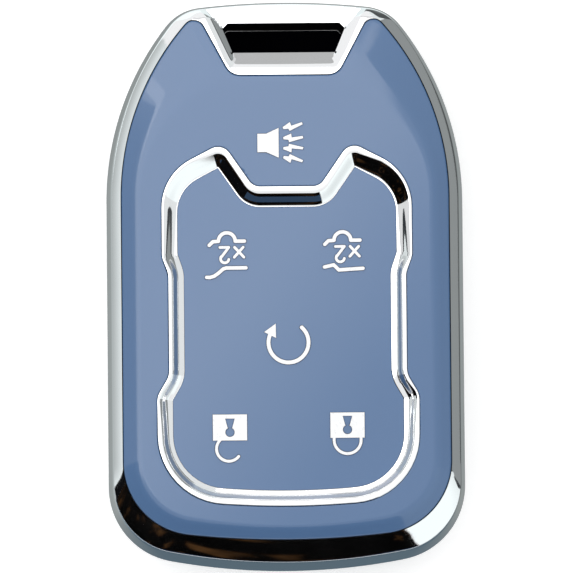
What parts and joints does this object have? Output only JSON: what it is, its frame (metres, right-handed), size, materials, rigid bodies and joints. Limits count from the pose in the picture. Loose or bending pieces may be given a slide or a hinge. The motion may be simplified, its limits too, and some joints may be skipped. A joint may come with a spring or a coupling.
{
  "type": "key fob cover",
  "caption": "Two-part protective cover for a car key fob: blue soft skin with pressable key zones, chrome rim and keypad frame, and a key ring slot at the tapered end.",
  "frame": {"origin": "middle of the cover on the plane of its rear face, where it lies on a table", "axes": "+Z out of the front face with the keys, +Y towards the key ring end, +X to the right seen from the front"},
  "size_m": [0.0526, 0.084, 0.0192],
  "materials": {
    "chrome_trim": "mirror plating on plastic",
    "blue_skin": "gloss grey-blue coating on soft plastic",
    "black_carrier": "fine matt black",
    "silver_symbol": "bright silver foil"
  },
  "bodies": {
    "rear_half": {"rear_bezel": "chrome_trim", "rear_panel": "blue_skin", "rear_carrier": "black_carrier"},
    "front_half": {"front_bezel": "chrome_trim", "front_panel": "blue_skin", "keypad_frame": "chrome_trim", "keypad_panel": "blue_skin", "front_carrier": "black_carrier"},
    "panic_button": {"panic_key": "blue_skin", "panic_icon": "silver_symbol"},
    "liftgate_button": {"liftgate_key": "blue_skin", "liftgate_icon": "silver_symbol"},
    "rear_glass_button": {"rear_glass_key": "blue_skin", "rear_glass_icon": "silver_symbol"},
    "start_button": {"start_key": "blue_skin", "start_icon": "silver_symbol"},
    "unlock_button": {"unlock_key": "blue_skin", "unlock_icon": "silver_symbol"},
    "lock_button": {"lock_key": "blue_skin", "lock_icon": "silver_symbol"}
  },
  "joints": [
    {"name": "front_lift", "type": "slide", "parent": "rear_half", "child": "front_half", "axis": [0, 0, 1], "range_m": [0, 0.03]},
    {"name": "panic_press", "type": "slide", "parent": "front_half", "child": "panic_button", "axis": [0, 0, -1], "range_m": [0, 0.0008], "stiffness_N_per_m": 1500},
    {"name": "liftgate_press", "type": "slide", "parent": "front_half", "child": "liftgate_button", "axis": [0, 0, -1], "range_m": [0, 0.0008], "stiffness_N_per_m": 1500},
    {"name": "rear_glass_press", "type": "slide", "parent": "front_half", "child": "rear_glass_button", "axis": [0, 0, -1], "range_m": [0, 0.0008], "stiffness_N_per_m": 1500},
    {"name": "start_press", "type": "slide", "parent": "front_half", "child": "start_button", "axis": [0, 0, -1], "range_m": [0, 0.0008], "stiffness_N_per_m": 1500},
    {"name": "unlock_press", "type": "slide", "parent": "front_half", "child": "unlock_button", "axis": [0, 0, -1], "range_m": [0, 0.0008], "stiffness_N_per_m": 1500},
    {"name": "lock_press", "type": "slide", "parent": "front_half", "child": "lock_button", "axis": [0, 0, -1], "range_m": [0, 0.0008], "stiffness_N_per_m": 1500}
  ]
}
